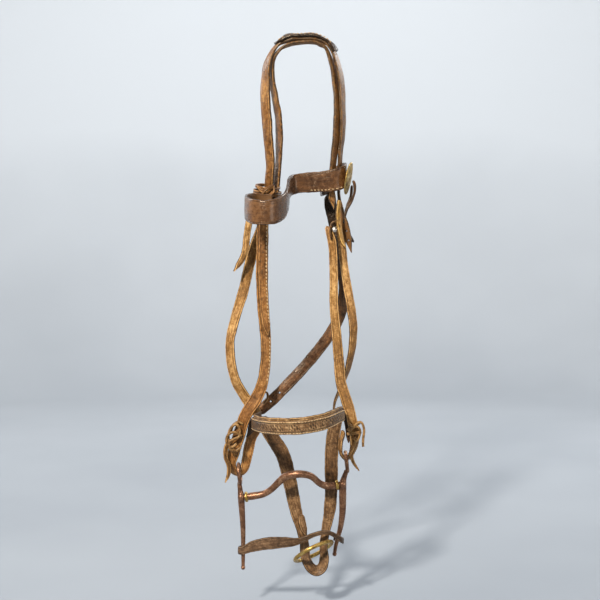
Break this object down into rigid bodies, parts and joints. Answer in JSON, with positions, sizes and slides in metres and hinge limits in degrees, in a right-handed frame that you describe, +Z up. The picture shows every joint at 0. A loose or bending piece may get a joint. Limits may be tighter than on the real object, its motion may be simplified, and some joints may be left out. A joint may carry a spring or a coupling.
{
  "type": "leather bridle headcollar",
  "caption": "Old leather riding headcollar hung by its crown, with browband, noseband, cheek and throat straps, curb bit, chin strap and lead ring.",
  "frame": {"origin": "underside of the crown, in the middle of the flat where it lies on its hook", "axes": "+X to the right seen from the front, +Y away from the viewer towards the wall, +Z up"},
  "size_m": [0.1787, 0.1641, 0.674],
  "materials": {
    "crown_leather": "worn, waxed on the edges",
    "tan_leather": "worn tan, dull sheen",
    "brown_leather": "old brown, creased",
    "dark_leather": "oiled and dirty, dark",
    "band_leather": "polished by wear, tooled edge",
    "lace_leather": "latigo lace, creased",
    "bit_iron": "rust-brown patina, rubbed bright on high spots",
    "brass": "old, tarnished"
  },
  "bodies": {
    "root": {"crown_strap": "crown_leather", "crown_lining": "crown_leather", "crown_cap": "dark_leather", "left_cheek_strap": "tan_leather", "left_cheek_lining": "tan_leather", "left_outer_strap": "tan_leather", "left_tail": "tan_leather", "left_tie_lace": "lace_leather", "left_tie_loop": "lace_leather", "right_cheek_strap": "tan_leather", "right_outer_strap": "tan_leather", "right_lace_tip": "dark_leather", "throat_strap": "dark_leather", "throat_lace": "lace_leather", "noseband": "band_leather", "noseband_panel": "band_leather", "noseband_left_tab": "dark_leather", "noseband_right_tab": "dark_leather", "left_bow_lace": "lace_leather", "left_bow_ends": "lace_leather", "right_bow_lace": "lace_leather", "right_bow_ends": "lace_leather"},
    "browband": {"browband": "band_leather", "browband_left_loop": "band_leather", "rosette": "brass", "rosette_lace": "dark_leather", "rosette_lace_end": "dark_leather"},
    "bit": {"bit_left_shank": "bit_iron", "bit_right_shank": "bit_iron", "bit_mouthpiece": "bit_iron", "bit_left_collar": "brass", "bit_right_collar": "brass", "hobble_strap": "dark_leather"},
    "chin": {"chin_strap": "brown_leather", "chin_lap": "brown_leather"},
    "ring": {"lead_ring": "brass"}
  },
  "joints": [
    {"name": "bit_swing", "type": "hinge", "parent": "root", "child": "bit", "pos_m": [-0.087, -0.004, -0.5285], "axis": [0.994, 0, 0.1096], "range_deg": [-15, 15]},
    {"name": "chin_swing", "type": "hinge", "parent": "root", "child": "chin", "pos_m": [0, 0.0135, -0.47], "axis": [1, 0, 0], "range_deg": [-11, 11]},
    {"name": "ring_turn", "type": "hinge", "parent": "chin", "child": "ring", "pos_m": [0.0073, 0.004, -0.636], "axis": [0.9048, 0.2042, 0.3738], "range_deg": [-4, 10]},
    {"name": "browband_slide", "type": "slide", "parent": "root", "child": "browband", "axis": [0, 0, 1], "range_m": [-0.006, 0]}
  ],
  "couplings": [
    {"joint": "chin_swing", "follows": "bit_swing", "ratio": 0.73}
  ]
}
